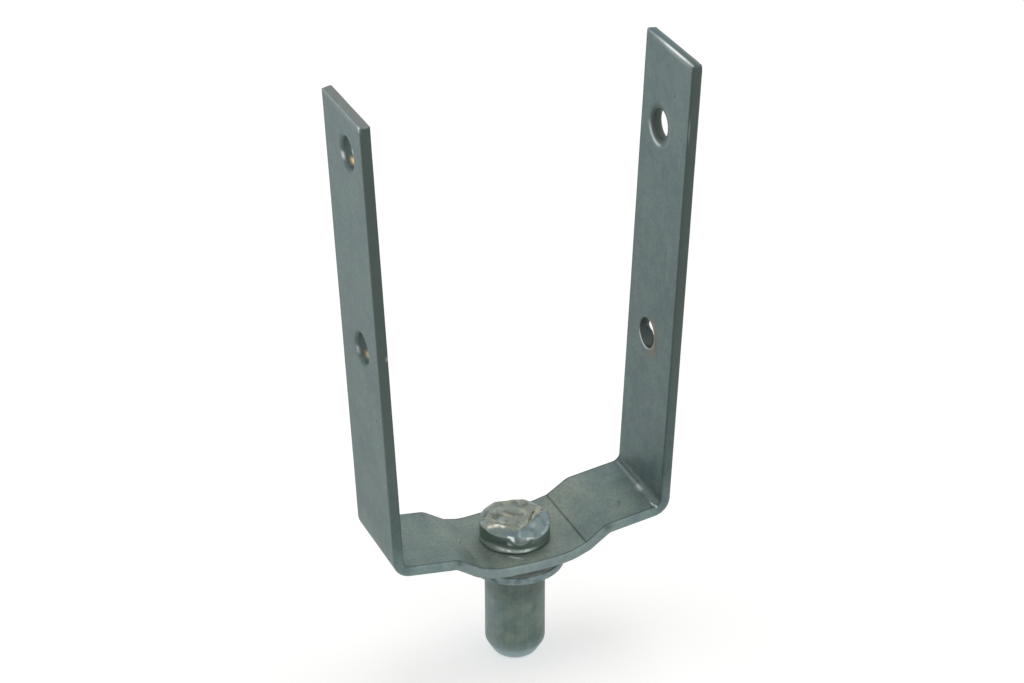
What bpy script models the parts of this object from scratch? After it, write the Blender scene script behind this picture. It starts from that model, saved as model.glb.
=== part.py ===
"""Fork bracket on a swivelling spigot: a bent steel strap riveted loosely to a round pin.

Metres, +Z up. The origin is on the pin's axis, level with the underside of the washer.
X runs across the fork from leg to leg, and Y along the width of the strip.
"""

import math

import bmesh
import bpy
from mathutils import Matrix, Vector

MM = 0.001

# Strap
STRAP_WIDTH = 30.0 * MM
STRAP_THICKNESS = 3.2 * MM
STRAP_EDGE = 0.5 * MM               # rounding of the strip's long edges and ends
INSIDE_WIDTH = 82.0 * MM            # between the legs, at the corners where they leave the web
LEG_HEIGHT = 150.0 * MM             # from the seat's face to the ends of the legs
LEG_SPLAY = math.radians(2.6)       # each leg leans outwards
LEG_BEND = 2.5 * MM                 # inner radius of the bend from web to leg

# Seat pressed down into the middle of the web
SEAT_DEPTH = 5.9 * MM
SEAT_MARGIN = 0.55 * MM             # flat left around the pin's head
SEAT_BEND = 10.0 * MM               # radius of the hollow at the foot of each ramp
SEAT_BULGE = 1.5 * MM               # how far pressing spread each edge of the strip at the seat
RAMP_ANGLE = math.radians(36.0)
RAMP_TOP_BEND = 2.8 * MM            # radius on the underside, at the head of each ramp
WEB_RISE = math.radians(7.5)        # the web climbs from the ramps to the legs

# Bolt holes, measured along each leg from its end
BOLT_HOLE_DIAMETER = 9.0 * MM
ROLL_LIFT = 0.06 * MM               # lets the rounding meet the face at a slight angle
LEFT_ROW_SKEW = math.radians(0.9)   # the holes were punched along a line slightly askew to the strip
LEFT_END_TO_HOLE = 12.5 * MM
LEFT_HOLE_SPACING = 61.5 * MM
LEFT_HOLE_ROLL = 0.4 * MM           # depth of the rounding where the punch went in, on the inner face
LEFT_HOLE_FLARE = 0.8 * MM          # width of that rounding
RIGHT_ROW_SKEW = math.radians(1.15)
RIGHT_END_TO_HOLE = 25.05 * MM
RIGHT_HOLE_SPACING = 66.5 * MM
RIGHT_HOLE_ROLL = 0.7 * MM          # deeper and wider than the left leg's
RIGHT_HOLE_FLARE = 3.9 * MM

# Pin
SPIGOT_DIAMETER = 18.2 * MM
SPIGOT_LENGTH = 32.5 * MM           # from the washer's underside to the tip
TIP_TAPER = 4.7 * MM                # length of the lead-in
TIP_INSET = 2.7 * MM                # how far the lead-in comes in from the spigot's side
TIP_ROUNDING = 2.4 * MM
SHOULDER = 1.1 * MM                 # step from the spigot in to the tenon
HEAD_OVERHANG = 2.7 * MM            # how far hammering spread the head beyond the tenon
HEAD_HEIGHT = 6.7 * MM
HEAD_SKIRT = 1.0 * MM               # roll of the head's lower edge
HEAD_ROUNDING = 1.4 * MM            # roll of the head's upper edge
HEAD_CROWN = 0.4 * MM               # rise of the hammered top at its middle

# Washer
WASHER_RING = 6.5 * MM              # from its bore to its rim
WASHER_THICKNESS = 2.5 * MM
WASHER_EDGE = 0.5 * MM
BORE_ROLL = 0.7 * MM                # leaves the flat that bears on a socket clear of the pin's shoulder

# Fits
PIVOT_CLEARANCE = 0.5 * MM          # all round the tenon, in the strap and in the washer
SEAT_GAP = 0.3 * MM                 # between pieces that rest on each other
END_PLAY = 2.4 * MM                 # free height between the washer and the web

# Smoothness
BEND_STEP = math.radians(12.0)      # on the strap's bends
EDGE_STEP = math.radians(30.0)      # on rounded edges
EDGE_SEGMENTS = 2
SQUARE_EDGE = math.radians(60.0)    # edges sharper than this are rounded, so the bends' facets are not
TURNED_STEPS = 48
CUTTER_STEPS = 32
WELD = 0.001 * MM
CUTTER_REACH = 4.0 * MM             # how far a cutter runs past the strip
SEAT_STEP = 3.0 * MM                # spacing of points across the seat

SEAT_LEVEL = WASHER_THICKNESS + END_PLAY + STRAP_THICKNESS
SPIGOT_RADIUS = SPIGOT_DIAMETER / 2
TENON_RADIUS = SPIGOT_RADIUS - SHOULDER
HEAD_RADIUS = TENON_RADIUS + HEAD_OVERHANG
PIVOT_RADIUS = TENON_RADIUS + PIVOT_CLEARANCE
WASHER_RADIUS = PIVOT_RADIUS + WASHER_RING


def clear_scene():
    for thing in list(bpy.data.objects):
        bpy.data.objects.remove(thing, do_unlink=True)


def new_collection(name):
    group = bpy.data.collections.new(name)
    bpy.context.scene.collection.children.link(group)
    return group


def metal(name, colour, roughness):
    """A bare or plated steel, in linear colour."""
    material = bpy.data.materials.new(name)
    material.use_nodes = True
    shader = material.node_tree.nodes["Principled BSDF"]
    shader.inputs["Base Color"].default_value = (*colour, 1.0)
    shader.inputs["Metallic"].default_value = 0.9
    shader.inputs["Roughness"].default_value = roughness
    return material


def arc(centre, radius, start, end, step):
    """Points on an arc in the (x, z) plane, from one angle to another."""
    steps = max(2, math.ceil(abs(end - start) / step))
    angles = [start + (end - start) * i / steps for i in range(steps + 1)]
    return [centre + radius * Vector((math.cos(a), math.sin(a))) for a in angles]


def rounded_path(corners, radii, step):
    """A chain of straight runs through the corners, with an arc at each corner between the ends."""
    path = [corners[0]]
    for before, corner, after, radius in zip(corners, corners[1:], corners[2:], radii):
        heading_in = math.atan2(*reversed(corner - before))
        heading_out = math.atan2(*reversed(after - corner))
        turn = math.remainder(heading_out - heading_in, math.tau)
        side = math.copysign(math.pi / 2, turn)
        tangent = radius * math.tan(abs(turn) / 2)
        foot = corner - tangent * (corner - before).normalized()
        to_centre = heading_in + side
        centre = foot + radius * Vector((math.cos(to_centre), math.sin(to_centre)))
        path += arc(centre, radius, heading_in - side, heading_in - side + turn, step)
    return path + [corners[-1]]


def web_corners():
    """Where the right half of the strap's inner face would fold if its bends were sharp."""
    flat_half = HEAD_RADIUS + SEAT_MARGIN
    ramp_foot = Vector((flat_half + SEAT_BEND * math.tan(RAMP_ANGLE / 2), SEAT_LEVEL))
    ramp_head = ramp_foot + SEAT_DEPTH * Vector((1 / math.tan(RAMP_ANGLE), 1))
    leg_foot = Vector((INSIDE_WIDTH / 2, 0))
    leg_foot.y = ramp_head.y + (leg_foot.x - ramp_head.x) * math.tan(WEB_RISE)
    leg_end = Vector((0, SEAT_LEVEL + LEG_HEIGHT))
    leg_end.x = leg_foot.x + (leg_end.y - leg_foot.y) * math.tan(LEG_SPLAY)
    return ramp_foot, ramp_head, leg_foot, leg_end


def strap_line():
    """The strap's inner face seen from the front, as (x, z) points from the left end to the right."""
    ramp_foot, ramp_head, leg_foot, leg_end = web_corners()
    corners = [Vector((0, SEAT_LEVEL)), ramp_foot, ramp_head, leg_foot, leg_end]
    bends = rounded_path(corners, [SEAT_BEND, RAMP_TOP_BEND + STRAP_THICKNESS, LEG_BEND], BEND_STEP)
    steps = math.ceil(bends[1].x / SEAT_STEP)
    seat = [bends[0].lerp(bends[1], i / steps) for i in range(1, steps)]
    right = seat + bends[1:]
    left = [Vector((-p.x, p.y)) for p in reversed(right)]
    return left + [bends[0]] + right


def seat_spread(x):
    """Width of the strip at x, as a share of its plain width: pressing the seat spread its edges."""
    reach = web_corners()[1].x
    if abs(x) >= reach:
        return 1.0
    return 1.0 + SEAT_BULGE / STRAP_WIDTH * (1 + math.cos(math.pi * x / reach))


def mesh_from_curve(name, curve):
    """The curve's surface as a welded mesh."""
    holder = bpy.data.objects.new(name, curve)
    bpy.context.scene.collection.objects.link(holder)
    depsgraph = bpy.context.evaluated_depsgraph_get()
    mesh = bpy.data.meshes.new_from_object(holder.evaluated_get(depsgraph))
    bpy.data.objects.remove(holder, do_unlink=True)
    bpy.data.curves.remove(curve)
    work = bmesh.new()
    work.from_mesh(mesh)
    bmesh.ops.remove_doubles(work, verts=work.verts, dist=WELD)
    work.to_mesh(mesh)
    work.free()
    mesh.name = name
    return mesh


def ribbon(name, points):
    """A strip of the strap's width that follows points in the (x, z) plane."""
    curve = bpy.data.curves.new(name, "CURVE")
    curve.dimensions = "2D"
    curve.fill_mode = "NONE"
    curve.extrude = STRAP_WIDTH / 2
    spline = curve.splines.new("POLY")
    spline.points.add(len(points) - 1)
    for knot, point in zip(spline.points, points):
        knot.co = (point.x, point.y, 0, 1)
        knot.radius = seat_spread(point.x)
    mesh = mesh_from_curve(name, curve)
    mesh.transform(Matrix.Rotation(math.pi / 2, 4, "X"))
    mesh.shade_smooth()
    return mesh


def turned(name, profile, steps, closed, group):
    """A profile of (radius, z) points, listed down its outer side, turned about the Z axis."""
    mesh = bpy.data.meshes.new(name)
    edges = [(i, i + 1) for i in range(len(profile) - 1)]
    if closed:
        edges.append((len(profile) - 1, 0))
    mesh.from_pydata([(p.x, 0, p.y) for p in profile], edges, [])
    piece = bpy.data.objects.new(name, mesh)
    group.objects.link(piece)
    screw = piece.modifiers.new("Turn", "SCREW")
    screw.steps = steps
    screw.render_steps = steps
    screw.use_merge_vertices = True
    screw.merge_threshold = WELD
    screw.use_smooth_shade = True
    return piece


def cutter(name, profile, group):
    piece = turned(name, profile, CUTTER_STEPS, False, group)
    piece.display_type = "WIRE"
    piece.hide_render = True
    return piece


def bolt_hole_profile(depth, flare):
    """A punch through the strip from z = 0 downwards, with the rounded rim where it went in."""
    radius = BOLT_HOLE_DIAMETER / 2
    roll = min(depth, STRAP_THICKNESS - STRAP_EDGE)
    quarter = arc(Vector((1, -1)), 1, math.pi / 2, math.pi, EDGE_STEP)
    rim = [Vector((radius + flare * p.x, ROLL_LIFT + roll * p.y)) for p in quarter]
    bottom = -STRAP_THICKNESS - CUTTER_REACH
    above = [Vector((0, CUTTER_REACH)), Vector((rim[0].x, CUTTER_REACH))]
    return above + rim + [Vector((radius, bottom)), Vector((0, bottom))]


def bolt_hole_cutters(group):
    """One punch for each bolt hole, square to the leg and flush with its inner face."""
    foot, end = web_corners()[2:]
    left = (-1, LEFT_ROW_SKEW, LEFT_HOLE_ROLL, LEFT_HOLE_FLARE)
    right = (1, RIGHT_ROW_SKEW, RIGHT_HOLE_ROLL, RIGHT_HOLE_FLARE)
    holes = {
        "left_upper": (LEFT_END_TO_HOLE, *left),
        "left_lower": (LEFT_END_TO_HOLE + LEFT_HOLE_SPACING, *left),
        "right_upper": (RIGHT_END_TO_HOLE, *right),
        "right_lower": (RIGHT_END_TO_HOLE + RIGHT_HOLE_SPACING, *right),
    }
    for name, (down_leg, side, skew, depth, flare) in holes.items():
        punch = cutter("bolt_hole_" + name, bolt_hole_profile(depth, flare), group)
        centre = end - down_leg * (end - foot).normalized()
        along_strip = foot.x + (centre - foot).length
        punch.location = (side * centre.x, side * along_strip * math.tan(skew), centre.y)
        punch.rotation_euler = (0, -side * (math.pi / 2 - LEG_SPLAY), 0)


def pivot_hole_cutter(group):
    top = SEAT_LEVEL + CUTTER_REACH
    bottom = SEAT_LEVEL - STRAP_THICKNESS - CUTTER_REACH
    outline = [(0, top), (PIVOT_RADIUS, top), (PIVOT_RADIUS, bottom), (0, bottom)]
    cutter("pivot_hole", [Vector(p) for p in outline], group)


def fork_strap(parts, cutters):
    mesh = ribbon("fork_strap", strap_line())
    strap = bpy.data.objects.new("fork_strap", mesh)
    parts.objects.link(strap)
    wall = strap.modifiers.new("Wall", "SOLIDIFY")
    wall.thickness = STRAP_THICKNESS
    wall.offset = -1.0
    wall.use_even_offset = True
    edge = strap.modifiers.new("Edge", "BEVEL")
    edge.width = min(STRAP_EDGE, STRAP_THICKNESS / 3)
    edge.segments = EDGE_SEGMENTS
    edge.limit_method = "ANGLE"
    edge.angle_limit = SQUARE_EDGE
    pivot_hole_cutter(cutters)
    bolt_hole_cutters(cutters)
    for punch in cutters.objects:
        hole = strap.modifiers.new(punch.name, "BOOLEAN")
        hole.operation = "DIFFERENCE"
        hole.solver = "EXACT"
        hole.object = punch
    mesh.materials.append(metal("galvanised_strap", (0.30, 0.35, 0.34), 0.45))


def swivel_pin(parts):
    """Hammered head, tenon, shoulder and spigot, in one piece."""
    under = SEAT_LEVEL + SEAT_GAP
    top = under + HEAD_HEIGHT
    tip = -SPIGOT_LENGTH
    shoulder = -SEAT_GAP
    profile = [Vector((0, top))]
    brow = Vector((HEAD_RADIUS - HEAD_ROUNDING, top - HEAD_CROWN - HEAD_ROUNDING))
    profile += arc(brow, HEAD_ROUNDING, math.pi / 2, 0, EDGE_STEP)
    skirt = Vector((HEAD_RADIUS - HEAD_SKIRT, under + HEAD_SKIRT))
    profile += arc(skirt, HEAD_SKIRT, 0, -math.pi / 2, EDGE_STEP)
    profile += [Vector((TENON_RADIUS, z)) for z in (under, shoulder)]
    lead_in = [
        Vector((SPIGOT_RADIUS, shoulder)),
        Vector((SPIGOT_RADIUS, tip + TIP_TAPER)),
        Vector((SPIGOT_RADIUS - TIP_INSET, tip)),
        Vector((0, tip)),
    ]
    profile += rounded_path(lead_in, [TIP_ROUNDING, TIP_ROUNDING], EDGE_STEP)
    pin = turned("swivel_pin", profile, TURNED_STEPS, False, parts)
    pin.data.materials.append(metal("dull_zinc_pin", (0.22, 0.25, 0.23), 0.5))


def collar_washer(parts):
    """A punched ring: the bore's lower edge is rolled where the punch went in."""
    edge = min(WASHER_EDGE, WASHER_THICKNESS / 3)
    inset = WASHER_RADIUS - edge
    profile = arc(Vector((inset, WASHER_THICKNESS - edge)), edge, math.pi / 2, 0, EDGE_STEP)
    profile += arc(Vector((inset, edge)), edge, 0, -math.pi / 2, EDGE_STEP)
    roll = min(BORE_ROLL, WASHER_THICKNESS / 3)
    profile += arc(Vector((PIVOT_RADIUS + roll, roll)), roll, -math.pi / 2, -math.pi, EDGE_STEP)
    profile.append(Vector((PIVOT_RADIUS, WASHER_THICKNESS)))
    washer = turned("collar_washer", profile, TURNED_STEPS, True, parts)
    washer.data.materials.append(metal("galvanised_washer", (0.36, 0.41, 0.41), 0.4))


def main():
    clear_scene()
    parts = new_collection("fork_bracket")
    cutters = new_collection("cutters")
    fork_strap(parts, cutters)
    swivel_pin(parts)
    collar_washer(parts)


main()
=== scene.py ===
"""Looks of the fork bracket: a bent zinc-coated strap, a riveted pin with a hammered head, and a washer.

Metres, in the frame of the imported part: the origin is on the pin's axis, level with the washer's underside.
X runs from leg to leg, Y along the width of the strip, and Z up the pin.
"""

import math
from collections import namedtuple

import bpy
import numpy as np
from bpy.props import FloatProperty, FloatVectorProperty, PointerProperty
from bpy.types import Operator, Panel, PropertyGroup
from mathutils import Matrix, Vector, noise


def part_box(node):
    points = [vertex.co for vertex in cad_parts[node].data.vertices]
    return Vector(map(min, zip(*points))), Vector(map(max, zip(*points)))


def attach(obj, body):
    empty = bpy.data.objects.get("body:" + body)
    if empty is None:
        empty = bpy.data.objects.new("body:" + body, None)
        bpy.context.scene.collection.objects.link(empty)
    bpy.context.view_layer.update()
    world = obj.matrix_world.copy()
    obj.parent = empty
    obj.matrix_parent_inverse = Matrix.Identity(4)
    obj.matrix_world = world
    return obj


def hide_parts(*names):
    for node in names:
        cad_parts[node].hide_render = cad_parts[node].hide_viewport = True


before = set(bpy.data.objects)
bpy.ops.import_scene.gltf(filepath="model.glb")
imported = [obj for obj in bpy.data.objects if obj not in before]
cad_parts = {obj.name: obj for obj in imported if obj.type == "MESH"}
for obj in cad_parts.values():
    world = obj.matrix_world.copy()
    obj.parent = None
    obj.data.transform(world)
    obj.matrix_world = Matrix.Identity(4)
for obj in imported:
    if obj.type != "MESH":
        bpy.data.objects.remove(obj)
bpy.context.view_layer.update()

bl_info = {
    "name": "Fork bracket",
    "version": (1, 0, 0),
    "blender": (4, 5, 0),
    "location": "3D View > Sidebar > Fork bracket",
    "description": "Builds the strap, pin and washer of a swivelling fork bracket, with their zinc finishes",
    "category": "Object",
}

MM = 0.001
PIN_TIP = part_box("swivel_pin")[0].z
WASHER_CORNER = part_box("collar_washer")[1]


def tone(text):
    """An sRGB hex colour in linear light."""
    levels = [int(text[i:i + 2], 16) / 255 for i in (1, 3, 5)]
    return tuple(c / 12.92 if c <= 0.04045 else ((c + 0.055) / 1.055) ** 2.4 for c in levels)


def length(name, description, size):
    """A length in metres, whose default is given in millimetres."""
    return FloatProperty(name=name, description=description, default=size * MM, unit="LENGTH", precision=5)


def angle(name, description, default):
    return FloatProperty(name=name, description=description, default=math.radians(default), subtype="ANGLE")


def colour(name, description, default):
    return FloatVectorProperty(
        name=name, description=description, default=tone(default), subtype="COLOR", min=0.0, max=1.0
    )


class StrapSizes(PropertyGroup):
    width: length("Width", "Width of the strip", 30.0)
    thickness: length("Thickness", "Thickness of the strip", 3.2)
    edge: length("Edge", "Rounding of the strip's long edges", 1.0)
    end_edge: length("End edge", "Rounding of the sheared ends", 0.55)
    inside_width: length("Inside width", "Between the legs, where they leave the web", 82.0)
    leg_top: length("Leg top", "Height of the ends of the inner faces", 158.1)
    leg_splay: angle("Leg splay", "How far each leg leans outwards", 2.6)
    leg_bend: length("Leg bend", "Inner radius of the bend from web to leg", 2.5)
    seat_level: length("Seat level", "Height of the flat under the pin's head", 8.1)
    dish_corner: length("Dish corner", "From the pin's axis to the middle of the seat's hollow", 11.53)
    dish_radius: length("Dish radius", "Radius of the seat's hollow", 14.0)
    dish_slope: angle("Dish slope", "Slope of the seat just inside the ramps", 16.5)
    crease: length("Crease", "From the pin's axis to the foot of each ramp", 16.8)
    crease_radius: length("Crease radius", "Sharp fold at the foot of the right ramp", 0.6)
    soft_radius: length("Soft radius", "Softer fold at the foot of the left ramp", 3.5)
    ramp_slope: angle("Ramp slope", "Slope of each ramp", 33.5)
    ramp_radius: length("Ramp radius", "Radius at the head of each ramp", 6.0)
    web_level: length("Web level", "Height of the web's plane at the leg's foot", 16.42)
    web_rise: angle("Web rise", "Slope of the web from the ramps to the legs", 7.5)
    bulge: length("Bulge", "How far pressing the seat spread each edge of the strip", 1.5)
    bulge_reach: length("Bulge reach", "From the pin's axis to the end of the spread", 22.6)
    pivot_hole: length("Pivot hole", "Radius of the hole for the pin's tenon", 8.5)
    groove: length("Groove", "Depth of the line pressed into the sharp fold", 0.14)
    ridge: length("Ridge", "Height of the pinched ridge in the right leg's bend", 0.28)
    wear: length("Wear", "Rounding of a worn corner", 1.6)
    bevel: length("Bevel", "Bright bevel on the inner edge of the right leg's end", 0.5)
    ripple: length("Ripple", "Depth of the slight waves left by rolling and galvanising", 0.06)
    ripple_length: length("Ripple length", "Length of those waves", 14.0)


class HoleSizes(PropertyGroup):
    radius: length("Radius", "Radius of each bolt hole", 4.5)
    left_end: length("Left end", "From the left leg's end to its upper hole", 12.5)
    left_spacing: length("Left spacing", "Between the left leg's holes", 61.5)
    left_roll: length("Left roll", "Depth of the rounded rim on the left leg's inner face", 0.4)
    left_flare: length("Left flare", "Width of the rounded rim on the left leg's inner face", 0.8)
    left_burr: length("Left burr", "Rounding on the left leg's outer face", 1.3)
    left_skew: angle("Left skew", "Slant of the left leg's line of holes", 0.9)
    right_end: length("Right end", "From the right leg's end to its upper hole", 25.05)
    right_spacing: length("Right spacing", "Between the right leg's holes", 66.5)
    right_roll: length("Right roll", "Depth of the rounded rim of the right leg's upper hole", 0.7)
    right_flare: length("Right flare", "Width of the rounded rim of the right leg's upper hole", 3.9)
    low_roll: length("Low roll", "Depth of the rounded rim of the right leg's lower hole", 0.3)
    low_flare: length("Low flare", "Width of the rounded rim of the right leg's lower hole", 0.9)
    right_burr: length("Right burr", "Rounding on the right leg's outer face", 0.1)
    right_skew: angle("Right skew", "Slant of the right leg's line of holes", 1.15)
    tear: length("Tear", "Zinc that set as a tear in the right leg's lower hole", 2.3)


class PinSizes(PropertyGroup):
    spigot: length("Spigot", "Radius of the spigot", 9.1)
    shoulder: length("Shoulder", "Depth of the shoulder below the washer's underside", 0.3)
    tenon: length("Tenon", "Radius of the tenon in the washer and the web", 8.0)
    taper: length("Taper", "Length of the lead-in at the tip", 4.7)
    inset: length("Inset", "How far the lead-in comes in", 2.7)
    tip_edge: length("Tip edge", "Rounding of the lead-in's edges", 2.4)
    head: length("Head", "Radius of the hammered head", 10.7)
    head_under: length("Head underside", "Height of the head's underside", 8.25)
    head_top: length("Head top", "Height of the head's top between the dents", 14.9)
    brow: length("Brow", "Rounding of the head's upper edge", 0.3)
    waist: length("Waist", "How far the head's side draws in above its lip", 0.6)
    lip: length("Lip", "Height of the lip squeezed out at the head's foot", 0.75)
    skirt: length("Skirt", "Roll of the head's lower edge", 0.3)


class WasherSizes(PropertyGroup):
    radius: length("Radius", "Radius of the rim", WASHER_CORNER.x / MM)
    thickness: length("Thickness", "Thickness of the washer", WASHER_CORNER.z / MM)
    bore: length("Bore", "Radius of the bore", 8.5)
    edge: length("Edge", "Rounding of the rim", 0.5)
    bore_roll: length("Bore roll", "Rounding of the bore's lower edge", 0.7)


class ZincColours(PropertyGroup):
    pale: colour("Pale zinc", "Lighter patches of the zinc", "#697F7D")
    deep: colour("Deep zinc", "Darker patches of the zinc", "#586C70")
    warm: colour("Warm film", "Brownish film on the web", "#8C9385")
    # Edge: painted shade on the legs' long edges, and towards the front of the right leg's end
    edge: colour("Edge", "Dark rolled edges of the legs", "#4C5955")
    sheared: colour("Sheared", "Pinkish grey of the left leg's cut end", "#757B77")
    # Bore: torn steel in the holes, deepened as painted shade down the holes and in rings round them
    bore: colour("Bore", "Torn steel inside the holes", "#4A5450")
    # A painted amber glint, low in the left leg's holes
    stain: colour("Stain", "Amber stain inside the left leg's holes", "#F0CF8C")
    brown: colour("Brown", "Brown bloom beside the right leg's lower hole", "#77705F")
    # Dirt in the dark spots, and painted shade in the creases, the bends, the ramps' edges and under the
    # web's front corner
    grime: colour("Grime", "Dirt in the creases", "#2B3432")
    # Bright metal: painted highlights on corners, rims, the ridge and the head, painted light on the web's
    # edges and the washer's top, and bright nicks
    rubbed: colour("Rubbed", "Bright metal where corners are rubbed", "#EEF5F3")
    bar: colour("Bar", "Dull zinc on the drawn bar of the pin", "#62746F")
    olive: colour("Olive film", "Olive patches on the drawn bar", "#76837B")
    # Bluish zinc, also used as painted light: the floor's reflection on the tip's chamfer, the pin's left
    # side and the tops of the legs
    lead_in: colour("Lead-in", "Bluish zinc on the chamfer of the tip", "#ABC0C5")
    collar: colour("Collar", "Bluish zinc of the washer", "#829698")
    crown: colour("Crown", "Grey-olive steel on top of the head", "#868E83")
    shade: colour("Shade", "Dark olive bruises on top of the head", "#646C61")
    # Cream smears, and painted highlights on the head's gash and ledges
    cream: colour("Cream", "Bare bright smears on top of the head", "#CDC8AC")
    facet: colour("Facet", "Smooth blue-grey flats of the head", "#9BAEB2")
    dull: colour("Dull", "Dark blue-grey flats at the front of the head", "#5D6D75")
    scale: colour("Scale", "Dull scale round the side of the head", "#76877F")
    # Dark brown pits, deepened as painted shade, and painted shade beside the head's ledges
    pit: colour("Pit", "Dark brown pits of the head", "#3F3A2C")


class StageSettings(PropertyGroup):
    aim: FloatVectorProperty(name="Aim", description="Where the camera looks", subtype="TRANSLATION",
                             default=(0.010597, 0.025937, 0.058654))
    azimuth: angle("Azimuth", "How far the camera stands to the left of the front", 23.515)
    elevation: angle("Elevation", "How far the camera looks down", 29.528)
    roll: angle("Roll", "Tilt of the camera about its line of sight", -0.175)
    distance: length("Distance", "From the camera to where it looks", 862.037)
    lens: FloatProperty(name="Lens", description="Focal length on a 36 mm sensor", default=101.58,
                        subtype="DISTANCE_CAMERA")
    floor: colour("Floor", "Pale floor", "#E9E9E7")


def add(tree, kind, inputs=None, out=0, **settings):
    """A new node with its settings, links and constants, by one of its outputs, or for None all of them."""
    made = tree.nodes.new(kind)
    for key, value in settings.items():
        setattr(made, key, value)
    for key, value in (inputs or {}).items():
        socket = made.inputs[key]
        if isinstance(value, bpy.types.NodeSocket):
            tree.links.new(value, socket)
        else:
            socket.default_value = (*value, 1) if socket.type == "RGBA" else value
    return made.outputs if out is None else made.outputs[out]


def smooth(value, low, high):
    """0 at low, 1 at high and an easy curve between them."""
    share = np.clip((value - low) / (high - low), 0.0, 1.0)
    return share * share * (3 - 2 * share)


def bump(value, width):
    """1 at zero, falling away to either side."""
    return np.exp(-(value / width) ** 2)


def arc(centre, radius, start, end, steps):
    """Points on an arc, as rows of two coordinates."""
    angles = np.linspace(start, end, steps + 1)
    return np.column_stack((centre[0] + radius * np.cos(angles), centre[1] + radius * np.sin(angles)))


def rounded_line(corners, radii, step):
    """Straight runs through the corners with an arc at each, its length, and where along it each arc lies."""
    corners = [np.array(c, float) for c in corners]
    points, spans = [corners[0]], []
    for before, corner, after, radius in zip(corners, corners[1:], corners[2:], radii):
        come, go = corner - before, after - corner
        heading = math.atan2(come[1], come[0])
        turn = math.remainder(math.atan2(go[1], go[0]) - heading, math.tau)
        side = math.copysign(math.pi / 2, turn)
        foot = corner - come / np.linalg.norm(come) * radius * math.tan(abs(turn) / 2)
        centre = foot + radius * np.array((math.cos(heading + side), math.sin(heading + side)))
        bend = arc(centre, radius, heading - side, heading - side + turn, max(4, math.ceil(abs(turn) / step)))
        spans.append((len(points), len(points) + len(bend) - 1))
        points.extend(bend)
    points = np.array(points + [corners[-1]])
    run = np.concatenate(([0.0], np.cumsum(np.linalg.norm(np.diff(points, axis=0), axis=1))))
    return points, run[-1], [(run[first], run[last]) for first, last in spans]


Bends = namedtuple("Bends", [
    "left_leg", "left_ramp", "left_crease", "left_dish",
    "right_dish", "right_crease", "right_ramp", "right_leg",
])
Hole = namedtuple("Hole", "along across radius roll flare burr")
BEND_STEP = math.radians(4.0)
RIPPLE_SEED = 3.0


def strap_line(sizes):
    """The strap's inner face seen from the front, from the left leg's end to the right leg's."""
    half = sizes.inside_width / 2
    foot_z = sizes.seat_level + (sizes.crease - sizes.dish_corner) * math.tan(sizes.dish_slope)
    ramp, rise = math.tan(sizes.ramp_slope), math.tan(sizes.web_rise)
    head_x = (sizes.web_level - half * rise - foot_z + sizes.crease * ramp) / (ramp - rise)
    right = [
        (sizes.dish_corner, sizes.seat_level),
        (sizes.crease, foot_z),
        (head_x, sizes.web_level - (half - head_x) * rise),
        (half, sizes.web_level),
        (half + (sizes.leg_top - sizes.web_level) * math.tan(sizes.leg_splay), sizes.leg_top),
    ]
    left = [(-x, z) for x, z in reversed(right)]
    left_radii = [sizes.leg_bend, sizes.ramp_radius, sizes.soft_radius, sizes.dish_radius]
    right_radii = [sizes.dish_radius, sizes.crease_radius, sizes.ramp_radius, sizes.leg_bend]
    points, total, spans = rounded_line(left + right, left_radii + right_radii, BEND_STEP)
    return points, total, Bends(*spans)


PATCH = 12                          # grid steps across the square patch around each hole
PATCH_HALF = 9.0 * MM               # half the patch around a bolt hole
SEAT_PATCH_HALF = 11.8 * MM         # half the patch around the pivot hole
MARGIN_COLUMNS = 4                  # columns between a patch and each edge of the strip
SUPPORT = 0.35 * MM                 # keeps the flat faces flat right up to their rounded edges
EDGE_STEPS = 5
WALL_STEPS = 3
BURR_STEPS = 4
RING_STEPS = 3                      # rings between a patch's square and its round hole
SQUARE_START = math.radians(225)    # direction of the corner where a patch's square starts
ROLL_STEPS = 8
COARSE, MEDIUM, FINE, FINEST = 1.5 * MM, 0.9 * MM, 0.3 * MM, 0.12 * MM
PIVOT_RIM = (0.4 * MM, 0.4 * MM, 0.3 * MM)      # the pivot hole's roll, flare and burr


def punched_holes(sizes, holes, total, middle):
    """The holes from left to right, with the depth and width of each inner rim, and each outer rim."""
    leg = (sizes.leg_top - sizes.web_level) / math.cos(sizes.leg_splay)
    left_rim = (holes.left_roll, holes.left_flare, holes.left_burr)
    right_rim = (holes.right_roll, holes.right_flare, holes.right_burr)
    low_rim = (holes.low_roll, holes.low_flare, holes.right_burr)
    found = [Hole(middle, 0.0, sizes.pivot_hole, *PIVOT_RIM)]
    for side, skew, down, rim in (
        (-1, holes.left_skew, holes.left_end, left_rim),
        (-1, holes.left_skew, holes.left_end + holes.left_spacing, left_rim),
        (1, holes.right_skew, holes.right_end, right_rim),
        (1, holes.right_skew, holes.right_end + holes.right_spacing, low_rim),
    ):
        across = side * (sizes.inside_width / 2 + leg - down) * math.tan(skew)
        found.append(Hole(down if side < 0 else total - down, across, holes.radius, *rim))
    return sorted(found)


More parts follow.
